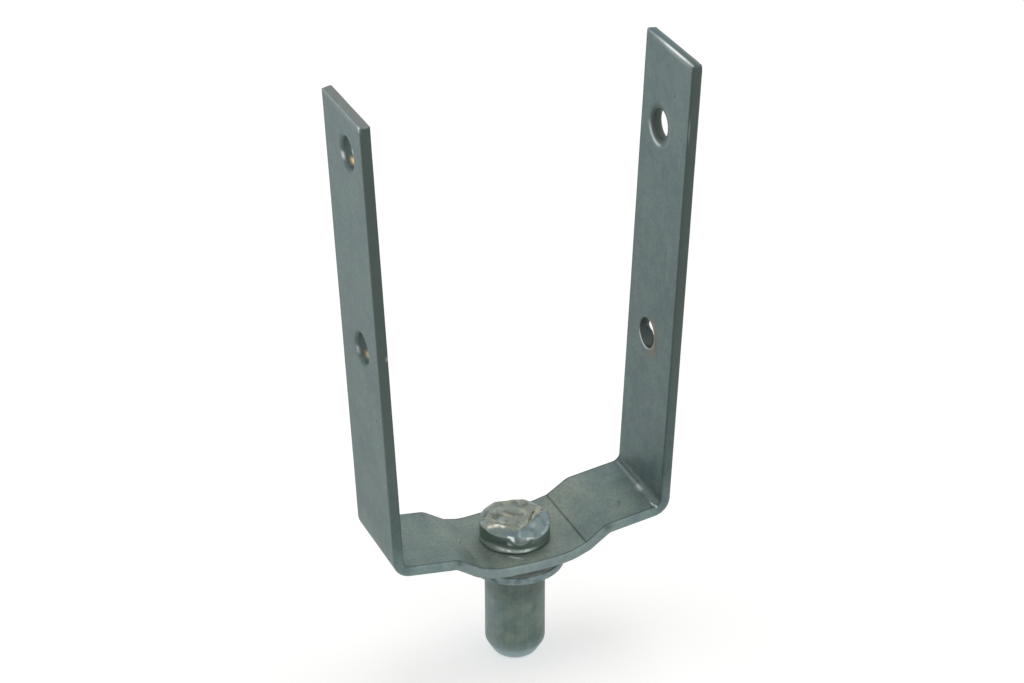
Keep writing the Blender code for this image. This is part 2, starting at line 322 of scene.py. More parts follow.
def strip_rows(total, bends, punched, end):
    """Where the strip is cut into rows, and the first row of each hole's patch."""
    beside, clear, pinch = 0.5 * MM, 1.0 * MM, 2.5 * MM
    left = [((hole.along - PATCH_HALF, COARSE), (hole.along + PATCH_HALF, None)) for hole in punched[:2]]
    right = [((hole.along - PATCH_HALF, COARSE), (hole.along + PATCH_HALF, None)) for hole in punched[3:]]
    middle = punched[2].along
    stops = [
        *sum(left, ()),
        (bends.left_leg[0] - clear, COARSE), (bends.left_leg[1] + clear, FINE),
        (bends.left_ramp[0], MEDIUM), (bends.left_ramp[1], FINE),
        (bends.left_crease[0] - beside, MEDIUM), (bends.left_crease[1] + beside, FINE),
        (middle - SEAT_PATCH_HALF, MEDIUM), (middle + SEAT_PATCH_HALF, None),
        (bends.right_crease[0] - beside, MEDIUM), (bends.right_crease[1] + beside, FINEST),
        (bends.right_ramp[0], MEDIUM), (bends.right_ramp[1], FINE),
        (bends.right_leg[0] - clear, MEDIUM), (bends.right_leg[0] + pinch, FINEST),
        (bends.right_leg[1] + clear, FINE),
        *sum(right, ()),
        (total - end, COARSE),
    ]
    rows, firsts = [end], []
    for stop, pitch in stops:
        if pitch is None:
            firsts.append(len(rows) - 1)
        steps = math.ceil((stop - rows[-1]) / pitch) if pitch else PATCH
        rows.extend(np.linspace(rows[-1], stop, steps + 1)[1:])
    return np.array(rows), firsts


def close_end(verts, faces, first, columns, sides, flip):
    """Cap an end of the strip, whose outline starts at the first vertex, with a grid."""
    grid = np.empty((sides + 2, columns), int)
    grid[0] = first + np.arange(columns)
    grid[-1] = first + 2 * columns + sides - 1 - np.arange(columns)
    for m in range(sides):
        grid[m + 1, -1] = first + columns + m
        grid[m + 1, 0] = first + 2 * (columns + sides) - 1 - m
        for j in range(1, columns - 1):
            grid[m + 1, j] = len(verts)
            verts.append(np.array((verts[first][0], verts[first + j][1], verts[first + columns + m][2])))
    for m in range(sides + 1):
        for j in range(columns - 1):
            quad = (grid[m, j], grid[m, j + 1], grid[m + 1, j + 1], grid[m + 1, j])
            faces.append(quad[::-1] if flip else quad)


def line_hole(verts, faces, hole, thick, above, below):
    """Join the square loops above and below a hole by its rounded rims and its wall."""
    radius, roll, burr = hole.radius, hole.roll, hole.burr
    profile = list((radius, 0) + (hole.flare, roll) * arc((1, -1), 1.0, math.pi / 2, math.pi, ROLL_STEPS))
    profile += list(np.linspace((radius, -roll), (radius, burr - thick), WALL_STEPS + 1)[1:])
    profile += list(arc((radius + burr, burr - thick), burr, math.pi, math.pi * 1.5, BURR_STEPS)[1:])
    turn = SQUARE_START + np.arange(len(above)) * math.tau / len(above)
    spokes = np.column_stack((np.cos(turn), np.sin(turn)))
    centre = np.array((hole.along, hole.across))
    inner, outer = (centre + spokes * (profile[i][0] + SUPPORT) for i in (0, -1))
    top, bottom = (np.array([verts[v][:2] for v in loop]) for loop in (above, below))
    shares = np.linspace(0, 1, RING_STEPS + 1)
    levels = [(top * (1 - share) + inner * share, 0.0) for share in shares[1:]]
    levels += [(centre + spokes * r, height) for r, height in profile]
    levels += [(outer * (1 - share) + bottom * share, -thick) for share in shares[:-1]]
    loops = [above]
    for points, height in levels:
        loops.append(range(len(verts), len(verts) + len(above)))
        verts.extend(np.column_stack((points, np.full(len(above), height))))
    for one, two in zip(loops, [*loops[1:], below]):
        for m in range(len(above)):
            after = (m + 1) % len(above)
            faces.append((one[m], one[after], two[after], two[m]))


def flat_strip(sizes, punched, total, bends):
    """The strip before bending: cut to length, rounded along its edges, and punched.

    Each vertex is (along, across, up from the inner face).
    """
    thick, edge, end = sizes.thickness, sizes.edge, sizes.end_edge
    rows, firsts = strip_rows(total, bends, punched, end)
    shift = np.interp(rows, [hole.along for hole in punched], [hole.across for hole in punched])
    near_seat = 1 - smooth(np.abs(rows - punched[2].along), 12.5 * MM, 30 * MM)
    half = PATCH_HALF + (SEAT_PATCH_HALF - PATCH_HALF) * near_seat

    flat = sizes.width / 2 - edge
    margin = np.linspace(0, 1, MARGIN_COLUMNS)[:-1]
    corner = arc((0, 0), 1.0, math.pi / 2, 0, EDGE_STEPS)[1:]
    wall = np.linspace(-edge, edge - thick, WALL_STEPS + 1)[1:]
    side_t = np.concatenate((flat + edge * corner[:, 0], np.full(WALL_STEPS, flat + edge),
                             flat + edge * corner[-2::-1, 0]))
    side_n = np.concatenate((edge * (corner[:, 1] - 1), wall, edge * (1 - corner[-2::-1, 1]) - thick))
    side_out = np.concatenate((corner, np.tile((1.0, 0.0), (WALL_STEPS, 1)), corner[-2::-1] * (1, -1)))
    columns = 2 * MARGIN_COLUMNS + PATCH + 1
    sides = len(side_t)
    around = 2 * columns + 2 * sides
    opposite = 2 * columns + sides - 1          # column j of the inner face lies over column opposite - j
    out = np.concatenate((np.tile((0.0, 1.0), (columns, 1)), side_out,
                          np.tile((0.0, -1.0), (columns, 1)), side_out[::-1] * (-1, 1)))
    up = np.concatenate((np.zeros(columns), side_n, np.full(columns, -thick), side_n[::-1]))

    def section(t, h, along, inset):
        """The strip's outline across, with a patch of half width h about t, drawn in by the inset."""
        low = -flat + SUPPORT + margin * (t - h + flat - SUPPORT)
        high = flat - SUPPORT - margin * (flat - SUPPORT - t - h)
        row = np.concatenate(([-flat], low, np.linspace(t - h, t + h, PATCH + 1), high[::-1], [flat]))
        across = np.concatenate((row, side_t, row[::-1], -side_t[::-1]))
        return np.column_stack((np.full(around, along), across - inset * out[:, 0], up - inset * out[:, 1]))

    turns = np.linspace(0, math.pi / 2, EDGE_STEPS + 1)[:0:-1]
    cut = [(end * (1 - math.sin(a)), end * (1 - math.cos(a))) for a in turns]
    loops = [section(shift[0], half[0], along, inset) for along, inset in cut]
    loops += [section(t, h, along, 0.0) for t, h, along in zip(shift, half, rows)]
    loops += [section(shift[-1], half[-1], total - along, inset) for along, inset in reversed(cut)]
    verts = list(np.concatenate(loops))

    skipped = set()
    for first in firsts:
        for i in range(len(cut) + first, len(cut) + first + PATCH):
            for j in range(MARGIN_COLUMNS, MARGIN_COLUMNS + PATCH):
                skipped.update(((i, j), (i, opposite - 1 - j)))
    faces = []
    for i in range(len(loops) - 1):
        for k in range(around):
            if (i, k) not in skipped:
                a, b = i * around + k, i * around + (k + 1) % around
                faces.append((a, a + around, b + around, b))

    for i, flip in ((0, False), (len(loops) - 1, True)):
        close_end(verts, faces, i * around, columns, sides, flip)
    for first, hole in zip(firsts, punched):
        i0, j0 = len(cut) + first, MARGIN_COLUMNS
        i1, j1 = i0 + PATCH, j0 + PATCH
        square = [(i, j0) for i in range(i0, i1)] + [(i1, j) for j in range(j0, j1)]
        square += [(i, j1) for i in range(i1, i0, -1)] + [(i0, j) for j in range(j1, j0, -1)]
        above = [i * around + j for i, j in square]
        below = [i * around + opposite - j for i, j in square]
        line_hole(verts, faces, hole, thick, above, below)
    return np.array(verts), faces


# Corners that are worn round: whether at the left leg's end, side of the strip, and share of the wear
WORN_CORNERS = ((True, 1, 1.1), (True, -1, 0.35), (False, -1, 1.75), (False, 1, 0.6))
SKIN = 0.5 * MM                     # depth in which marks on a face fade away
GROOVE_START = -14.2 * MM           # across the strip, where the pressed line sets in
RIDGE_AT = 1.0 * MM                 # from the start of the right leg's bend to its pinched ridge
RIDGE_START, RIDGE_STOP = -3.4 * MM, 14.0 * MM
KNOB = (-0.3 * MM, -2.9 * MM)       # along from the ridge, and across
TINY = 1e-9                         # keeps a division by a distance from failing


def from_hole(s, t, hole):
    """Distance from a hole's axis, and the direction there, along and across the strip."""
    along, across = s - hole.along, t - hole.across
    away = np.maximum(np.hypot(along, across), TINY)
    return away, along / away, across / away


def pinched_ridge(s, t, bends):
    """Distance past the ridge in the right leg's bend, where it is pinched up, and distance from its knob."""
    past = s - (bends.right_leg[0] + RIDGE_AT)
    pinched = smooth(t, RIDGE_START, RIDGE_START + 0.8 * MM)
    pinched *= 1 - smooth(t, RIDGE_STOP - 2 * MM, RIDGE_STOP)
    return past, pinched, np.hypot(past - KNOB[0], t - KNOB[1])


def work_strip(verts, sizes, tear, punched, total, bends):
    """What making and use did: a pressed line, a pinched ridge, a tear of zinc, a bevel and worn corners."""
    s, t, n = verts.T
    on_face = smooth(n, -SKIN, 0.0)
    past, pinched, knob = pinched_ridge(s, t, bends)
    crease = s - sum(bends.right_crease) / 2
    pressed = bump(crease, 0.24 * MM) * smooth(t, GROOVE_START, GROOVE_START + 1.0 * MM)
    raised = bump(past, 0.5 * MM) * pinched + 0.6 * bump(knob, 1.0 * MM)
    n = n + on_face * (sizes.ridge * raised - sizes.groove * pressed)

    hole = punched[3]
    away, down, aside = from_hole(s, t, hole)
    inward = tear * smooth(0.6 * aside - 0.8 * down, 0.6, 0.93) * smooth(-n, 0.9 * MM, 2.6 * MM)
    inward *= 1 - smooth(away - hole.radius, 0.1 * MM, 1.6 * MM)
    s, t = s - inward * down, t - inward * aside
    lost = np.clip(sizes.bevel - (total - s) + n, 0, sizes.bevel) / 2
    s, n = s - lost, n - lost

    for at_left, side, share in WORN_CORNERS:
        along = s if at_left else total - s
        across = sizes.width / 2 - side * t
        worn = sizes.wear * share * (0.55 + 0.45 * smooth(-n, 0.2 * sizes.thickness, sizes.thickness))
        reach = np.maximum(np.hypot(worn - along, worn - across), TINY)
        cut = (along < worn) & (across < worn) & (reach > worn)
        along = np.where(cut, worn - (worn - along) * worn / reach, along)
        across = np.where(cut, worn - (worn - across) * worn / reach, across)
        s, t = along if at_left else total - along, side * (sizes.width / 2 - across)
    return np.column_stack((s, t, n))


def strip_marks(verts, sizes, punched, total, bends):
    """How far each vertex is rolled edge, cut end, torn bore deepened by painted shade, painted amber glint,
    bloom, painted shade or painted highlight.
    """
    s, t, n = verts.T
    thick, middle = sizes.thickness, punched[2].along
    on_face = smooth(n, -SKIN, 0.0)
    on_outside = smooth(-n, thick - SKIN, thick)
    on_web = 1 - smooth(np.abs(s - middle), 40 * MM, 46 * MM)
    edge = smooth(np.abs(t), sizes.width / 2 - 1.5 * sizes.edge, sizes.width / 2 - 0.3 * sizes.edge)
    end = 1 - smooth(np.minimum(s, total - s), 0.02 * MM, 0.7 * sizes.end_edge)
    end *= 0.3 + 0.7 * smooth(n + thick, 0.9 * MM, 1.5 * MM)
    past, pinched, knob = pinched_ridge(s, t, bends)

    crease = s - sum(bends.right_crease) / 2
    in_crease = bump(crease, 0.26 * MM) * smooth(t, GROOVE_START - 0.4 * MM, GROOVE_START + 0.8 * MM)
    # Painted shade: under the web's front corner, in the pressed crease, on the edges where the ramps bend,
    # and beside the legs' bends and the pinched ridge
    grime = 0.75 * on_web * bump(edge - 0.4, 0.24) * smooth(n, -0.8 * MM, -0.25 * MM)
    grime += 0.55 * on_face * in_crease
    for ramp in (bends.left_ramp, bends.right_ramp):
        grime += 0.5 * edge * bump(s - sum(ramp) / 2, 1.6 * MM) * smooth(n, -2.2 * MM, -0.6 * MM)
    grime += 0.22 * on_face * bump(past - 1.0 * MM, 2.6 * MM)
    grime += 0.15 * on_face * bump(s - sum(bends.left_leg) / 2, 2.6 * MM)
    grime += 0.35 * on_face * bump(past - 0.75 * MM, 0.3 * MM) * pinched

    bevel = smooth(sizes.bevel - (total - s) + n, -0.15 * MM, 0.15 * MM)
    # Painted highlights on the pinched ridge and its knob, along the right end's bevel, and on the left end's
    # outer edge and front corner
    rubbed = on_face * (0.15 * bump(past, 0.35 * MM) * pinched + 0.8 * bump(knob, 0.8 * MM))
    rubbed += bevel * (0.15 + 1.25 * bump(t + 3.5 * MM, 8.5 * MM))
    rubbed += 0.3 * bump(s - 0.25 * MM, 0.3 * MM) * on_outside
    rubbed += 0.9 * bump(np.hypot(s - 0.2 * MM, t + 13.6 * MM), 0.55 * MM) * on_outside

    bore, stain, brown = np.zeros((3, len(s)))
    for hole in punched:
        away, down, aside = from_hole(s, t, hole)
        away, flare = away - hole.radius, hole.flare
        # Torn steel on the hole walls, deepened as painted shade down each hole
        wall = (1 - smooth(away, 0.35 * flare, 0.85 * flare)) * smooth(n + thick, 0.0, 0.5 * MM)
        bore = np.maximum(bore, wall * smooth(-n, 0.05 * hole.roll, 0.5 * hole.roll))
        if hole.along > middle:
            # Painted highlights on the rim of each right-hand hole
            lit = smooth(0.5 * aside - 0.87 * down, 0.55, 0.95)
            front = smooth(-aside, 0.1, 0.7)
            rubbed += 0.9 * lit * bump(away - 0.45 * flare, 0.1 * flare + 0.12 * MM) * on_face
            rubbed += 0.16 * front * bump(away - 0.55 * flare, 0.3 * MM) * on_face
            # Painted shade in a ring round the hole on the outer face
            bore = np.maximum(bore, 0.4 * on_outside * (1 - smooth(away, 0.0, 0.9 * MM)))
            if hole is punched[3]:
                brown += front * bump(away - 1.6 * MM, 1.2 * MM) * on_face
        elif hole.along < middle:
            # A painted highlight on the back edge of each left-hand hole
            share = 1.0 if hole is punched[0] else 0.5
            lit = share * smooth(0.86 * aside + 0.51 * down, 0.95, 1.0)
            lit *= smooth(-n, thick - 1.2 * MM, thick - 0.3 * MM)
            # A painted amber glint low in the bore
            low = share * smooth(0.88 * down + 0.47 * aside, 0.92, 1.0)
            rubbed += 0.9 * lit * bump(away - 0.5 * MM, 0.4 * MM)
            stain += low * (1 - smooth(away, 0.0, 0.6 * MM)) * bump(n + 0.7 * MM, 0.5 * MM)
            # Half the painted shade on a left hole's walls and near its rim, and a ring of it round the hole
            # on the outer face
            bore *= 1 - 0.5 * (away < 2 * MM)
            bore = np.maximum(bore, 0.35 * on_outside * (1 - smooth(away, 0.3 * MM, 1.3 * MM)))
    marks = {"edge": edge * (1 - end), "end": end, "bore": bore, "stain": stain, "brown": brown,
             "grime": grime, "rubbed": rubbed}
    return {name: np.clip(values, 0, 1) for name, values in marks.items()}


def mesh_object(name, verts, faces, marks):
    """A smooth-shaded mesh whose vertices carry the given marks for its material."""
    mesh = bpy.data.meshes.new(name)
    mesh.from_pydata([tuple(v) for v in verts], [], [tuple(int(i) for i in f) for f in faces])
    for mark, values in marks.items():
        layer = mesh.attributes.new(mark, "FLOAT", "POINT")
        layer.data.foreach_set("value", np.asarray(values, np.float32))
    mesh.shade_smooth()
    mesh.validate()
    made = bpy.data.objects.new(name, mesh)
    bpy.context.scene.collection.objects.link(made)
    return made


def bending_tree():
    """Bends a flat strip along a line, spreads its edges at the seat, and gives it slight waves."""
    tree = bpy.data.node_groups.new("bend_strip", "GeometryNodeTree")
    kinds = {"Geometry": "Geometry", "Bend line": "Object", "Zinc": "Material"}
    numbers = ("Strip width", "Bulge", "Bulge reach", "Ripple depth", "Ripple length", "Seed")
    for name, kind in {**kinds, **dict.fromkeys(numbers, "Float")}.items():
        tree.interface.new_socket(name, in_out="INPUT", socket_type="NodeSocket" + kind)
    tree.interface.new_socket("Geometry", in_out="OUTPUT", socket_type="NodeSocketGeometry")
    given = add(tree, "NodeGroupInput", out=None)
    flat = add(tree, "GeometryNodeInputPosition")
    kept = add(tree, "GeometryNodeStoreNamedAttribute",
               {"Geometry": given["Geometry"], "Name": "flat", "Value": flat}, data_type="FLOAT_VECTOR")

    along, across, height = add(tree, "ShaderNodeSeparateXYZ", {0: flat}, None)
    line = add(tree, "GeometryNodeObjectInfo", {"Object": given["Bend line"]}, "Geometry")
    on_line = add(tree, "GeometryNodeSampleCurve", {"Curves": line, "Length": along}, None,
                  mode="LENGTH", use_all_curves=True)
    up = add(tree, "ShaderNodeVectorMath", {0: on_line["Tangent"], 1: (0, 1, 0)}, operation="CROSS_PRODUCT")
    up = add(tree, "ShaderNodeVectorMath", {0: up}, operation="NORMALIZE")
    lifted = add(tree, "ShaderNodeVectorMath", {0: up, "Scale": height}, operation="SCALE")

    from_pin = add(tree, "ShaderNodeSeparateXYZ", {0: on_line["Position"]})
    from_pin = add(tree, "ShaderNodeMath", {0: from_pin}, operation="ABSOLUTE")
    wave = add(tree, "ShaderNodeMapRange", {0: from_pin, 2: given["Bulge reach"], 4: math.pi})
    wave = add(tree, "ShaderNodeMath", {0: wave}, operation="COSINE")
    wave = add(tree, "ShaderNodeMath", {0: wave, 1: 1.0}, operation="ADD")
    spread = add(tree, "ShaderNodeMath", {0: given["Bulge"], 1: given["Strip width"]}, operation="DIVIDE")
    spread = add(tree, "ShaderNodeMath", {0: wave, 1: spread, 2: 1.0}, operation="MULTIPLY_ADD")
    across = add(tree, "ShaderNodeMath", {0: across, 1: spread}, operation="MULTIPLY")
    across = add(tree, "ShaderNodeCombineXYZ", {1: across})
    place = add(tree, "ShaderNodeVectorMath", {0: on_line["Position"], 1: lifted}, operation="ADD")
    place = add(tree, "ShaderNodeVectorMath", {0: place, 1: across}, operation="ADD")
    bent = add(tree, "GeometryNodeSetPosition", {"Geometry": kept, "Position": place})

    flat = add(tree, "GeometryNodeInputNamedAttribute", {"Name": "flat"}, data_type="FLOAT_VECTOR")
    scale = add(tree, "ShaderNodeMath", {0: 1.0, 1: given["Ripple length"]}, operation="DIVIDE")
    ripple = add(tree, "ShaderNodeTexNoise",
                 {"Vector": flat, "W": given["Seed"], "Scale": scale, "Detail": 2.0}, noise_dimensions="4D")
    ripple = add(tree, "ShaderNodeMapRange", {0: ripple, 1: 0.25, 2: 0.75, 3: -1.0, 4: 0.0})
    ripple = add(tree, "ShaderNodeMath", {0: ripple, 1: given["Ripple depth"]}, operation="MULTIPLY")
    normal = add(tree, "GeometryNodeInputNormal")
    offset = add(tree, "ShaderNodeVectorMath", {0: normal, "Scale": ripple}, operation="SCALE")
    waved = add(tree, "GeometryNodeSetPosition", {"Geometry": bent, "Offset": offset})
    plain = add(tree, "GeometryNodeRealizeInstances", {0: waved})
    done = add(tree, "GeometryNodeSetMaterial", {"Geometry": plain, "Material": given["Zinc"]})
    add(tree, "NodeGroupOutput", {0: done}, None)
    return tree


def apply_tree(source, tree, values):
    """Give the source the mesh that the tree makes of it, as a plain mesh."""
    grown = source.modifiers.new("Build", "NODES")
    grown.node_group = tree
    for item in tree.interface.items_tree:
        if item.in_out == "INPUT" and item.name in values:
            grown[item.identifier] = values[item.name]
    depsgraph = bpy.context.evaluated_depsgraph_get()
    mesh = bpy.data.meshes.new_from_object(source.evaluated_get(depsgraph), depsgraph=depsgraph)
    source.modifiers.remove(grown)
    old = source.data
    source.data = mesh
    bpy.data.meshes.remove(old)
    mesh.name = source.name


def bend_curve(points):
    """The line that the strip is bent along, in the plane of the pin's axis and the legs."""
    curve = bpy.data.curves.new("bend_line", "CURVE")
    curve.dimensions = "3D"
    spline = curve.splines.new("POLY")
    spline.points.add(len(points) - 1)
    places = np.column_stack((points[:, 0], np.zeros(len(points)), points[:, 1], np.ones(len(points))))
    spline.points.foreach_set("co", places.ravel())
    line = bpy.data.objects.new("bend_line", curve)
    bpy.context.scene.collection.objects.link(line)
    return line


def new_zinc(name):
    material = bpy.data.materials.new(name)
    material.use_nodes = True
    return material, material.node_tree


def finish_zinc(material, metallic, **links):
    """Give a material's shader how metallic it is, and links for its base_color, roughness and normal."""
    tree = material.node_tree
    shader = tree.nodes["Principled BSDF"]
    shader.inputs["Metallic"].default_value = metallic
    for name, output in links.items():
        tree.links.new(output, shader.inputs[name.replace("_", " ").title()])
    return material


# Small marks on the strip in millimetres: along from the pin's axis, across, up, half length and half width,
# turn in degrees, and strength, which is below zero where the mark is bright. The dark marks are dirt, nicks
# and scratches; the bright ones are painted highlights and bright nicks, and the one at -4.6 is a painted
# reflection of the head's lip on the seat.
SPOTS = (
    (-17.6, 0.5, 0.0, 1.3, 0.5, 70, 0.6),
    (-17.9, 1.2, 0.0, 0.8, 0.3, 70, -0.5),
    (-23.7, 5.8, 0.0, 1.1, 0.4, 20, 0.45),
    (-26.1, 11.9, 0.0, 1.6, 0.4, 110, 0.4),
    (41.0, -12.6, 0.0, 1.9, 0.35, 95, -0.55),
    (41.4, -14.2, 0.0, 0.9, 0.4, 80, -0.5),
    (33.1, -5.9, 0.0, 1.4, 0.8, 60, 0.45),
    (32.2, -7.3, 0.0, 1.6, 0.5, 25, 0.35),
    (170.8, -5.0, 0.0, 0.8, 0.6, 0, 0.5),
    (-90.3, -9.6, -3.2, 0.8, 0.7, 0, 0.6),
    (-112.4, -15.0, -0.4, 1.2, 0.6, 0, -0.25),
    (-131.0, 3.0, -3.2, 4.5, 0.35, 35, 0.18),
    (-70.0, 4.0, -3.2, 5.5, 0.4, -20, 0.15),
    (120.0, 6.0, 0.0, 6.0, 0.4, 25, 0.18),
    (-4.6, -10.2, 0.0, 2.9, 0.6, -38, -0.5),
    (91.5, -4.6, 0.0, 5.0, 1.3, 8, 0.25),
    (164.0, -14.7, 0.0, 5.0, 0.25, 0, -0.2),
)
SPOT_DEPTH = 0.8                    # millimetres
SPOT_CORE = 0.4                     # share of a mark's size that has its full strength


def strip_zinc(colours, middle):
    """Flat bar, hot-dip galvanised and then dulled by weather.

    It shows soft grey-green patches 3 to 15 mm across, painted shade on the legs' edges, painted light on the
    web's edges and the tops of the legs, a brownish film round the pin, torn steel in the holes deepened with
    painted shade, a painted amber glint in the left leg's holes, a brown bloom by the right leg's lower hole,
    painted shade in the creases and bends, painted highlights on corners, rims and the right end's bevel,
    and a few dark nicks and scratches.
    """
    material, tree = new_zinc("dulled_galvanised_bar")
    flat = add(tree, "ShaderNodeAttribute", None, "Vector", attribute_name="flat")
    edge, end, bore, stain, brown, grime, rubbed = (
        add(tree, "ShaderNodeAttribute", None, "Fac", attribute_name=mark)
        for mark in ("edge", "end", "bore", "stain", "brown", "grime", "rubbed")
    )
    along, across, _ = add(tree, "ShaderNodeSeparateXYZ", {0: flat}, None)
    right = add(tree, "ShaderNodeMath", {0: along, 1: middle}, operation="GREATER_THAN")
    from_pin = add(tree, "ShaderNodeMath", {0: along, 1: middle}, operation="SUBTRACT")
    from_pin = add(tree, "ShaderNodeMath", {0: from_pin}, operation="ABSOLUTE")
    rolled = add(tree, "ShaderNodeMapping",
                 {"Vector": flat, "Scale": (1 / (40 * MM), 1 / (1.1 * MM), 1 / (5 * MM))})
    patches, clouds, grain, lines = (
        add(tree, "ShaderNodeTexNoise", {"Vector": place, "Scale": 1 / size, "Detail": detail})
        for place, size, detail in (
            (flat, 5 * MM, 5.0), (flat, 17 * MM, 2.0), (flat, 1.0 * MM, 3.0), (rolled, 1.0, 2.0),
        )
    )
    share = {name: add(tree, "ShaderNodeMapRange", dict(enumerate(limits))) for name, limits in {
        "patchy": (patches, 0.385, 0.615, 0.0, 1.0),
        "filmy": (clouds, 0.38, 0.62, 0.32, 0.72),
        "near_pin": (from_pin, 50 * MM, 14 * MM, 0.15, 1.0),
        "on_face": (edge, 0.0, 1.0, 1.0, 0.1),
        "lined": (lines, 0.3, 0.7, 0.96, 1.04),
        "grainy": (grain, 0.35, 0.65, 0.89, 1.11),
        "bright": (from_pin, 38 * MM, 48 * MM, 1.13, 0.93),
        "broad": (clouds, 0.35, 0.65, 0.95, 1.04),
        "high": (from_pin, 110 * MM, 185 * MM, 0.0, 0.1),
        "on_leg": (from_pin, 40 * MM, 56 * MM, 0.0, 0.65),
        "upper": (from_pin, 70 * MM, 120 * MM, 0.0, 0.35),
        "near_seat": (from_pin, 52 * MM, 20 * MM, 0.0, 0.12),
        "front": (across, 6 * MM, -12 * MM, 0.0, 0.8),
        "broken": (grain, 0.3, 0.55, 0.75, 1.0),
        "rough": (patches, 0.3, 0.7, 0.46, 0.58),
    }.items()}

    film, level = share["filmy"], share["lined"]
    for part in ("near_pin", "on_face"):
        film = add(tree, "ShaderNodeMath", {0: film, 1: share[part]}, operation="MULTIPLY")
    for part in ("grainy", "bright", "broad"):
        level = add(tree, "ShaderNodeMath", {0: level, 1: share[part]}, operation="MULTIPLY")
    on_leg = add(tree, "ShaderNodeMath", {0: share["on_leg"], 1: share["upper"]}, operation="ADD")
    # Painted shade on the legs' long edges, stronger up the legs
    edge_shade = add(tree, "ShaderNodeMath", {0: edge, 1: on_leg}, operation="MULTIPLY")
    # Painted light on the web's edges near the seat, in the bright colour
    light = add(tree, "ShaderNodeMath", {0: edge, 1: share["near_seat"]}, operation="MULTIPLY")
    # The cut ends: the left one pinkish grey, the right one deep zinc that goes over to the edge's painted
    # shade towards its front
    cut = add(tree, "ShaderNodeMix",
              {0: share["front"], 6: colours.deep, 7: colours.edge}, 2, data_type="RGBA")
    cut = add(tree, "ShaderNodeMix", {0: right, 6: colours.sheared, 7: cut}, 2, data_type="RGBA")
    for s, t, n, long, wide, turn, strength in SPOTS:
        near = add(tree, "ShaderNodeMapping", {
            "Vector": flat,
            "Location": (middle + s * MM, t * MM, n * MM),
            "Rotation": (0, 0, math.radians(turn)),
            "Scale": (long * MM, wide * MM, SPOT_DEPTH * MM),
        }, vector_type="TEXTURE")
        away = add(tree, "ShaderNodeVectorMath", {0: near}, "Value", operation="LENGTH")
        inside = add(tree, "ShaderNodeMapRange", {0: away, 1: 1.0, 2: SPOT_CORE, 4: abs(strength)})
        if strength > 0:
            grime = add(tree, "ShaderNodeMath", {0: grime, 1: inside}, operation="MAXIMUM")
        else:
            rubbed = add(tree, "ShaderNodeMath", {0: rubbed, 1: inside}, operation="MAXIMUM")
    rubbed = add(tree, "ShaderNodeMath", {0: rubbed, 1: share["broken"]}, operation="MULTIPLY")

    zinc = colours.deep
    for blend, amount, tint in (
        ("MIX", share["patchy"], colours.pale),
        ("MIX", film, colours.warm),
        ("MULTIPLY", 1.0, level),
        # Painted light: the tops of the legs turn towards the pale bluish tone
        ("MIX", share["high"], colours.lead_in),
        ("MIX", edge_shade, colours.edge),
        ("MIX", light, colours.rubbed),
        ("MIX", end, cut),
        ("MIX", bore, colours.bore),
        ("MIX", stain, colours.stain),
        ("MIX", brown, colours.brown),
        ("MIX", grime, colours.grime),
        ("MIX", rubbed, colours.rubbed),
    ):
        zinc = add(tree, "ShaderNodeMix", {0: amount, 6: zinc, 7: tint}, 2,
                   data_type="RGBA", blend_type=blend)
    dents = add(tree, "ShaderNodeMath", {0: rubbed, 1: grime}, operation="SUBTRACT")
    normal = add(tree, "ShaderNodeBump", {"Height": grain, "Distance": 0.03 * MM, "Strength": 0.5})
    normal = add(tree, "ShaderNodeBump",
                 {"Height": dents, "Distance": 0.06 * MM, "Strength": 0.6, "Normal": normal})
    return finish_zinc(material, 0.6, base_color=zinc, roughness=share["rough"], normal=normal)


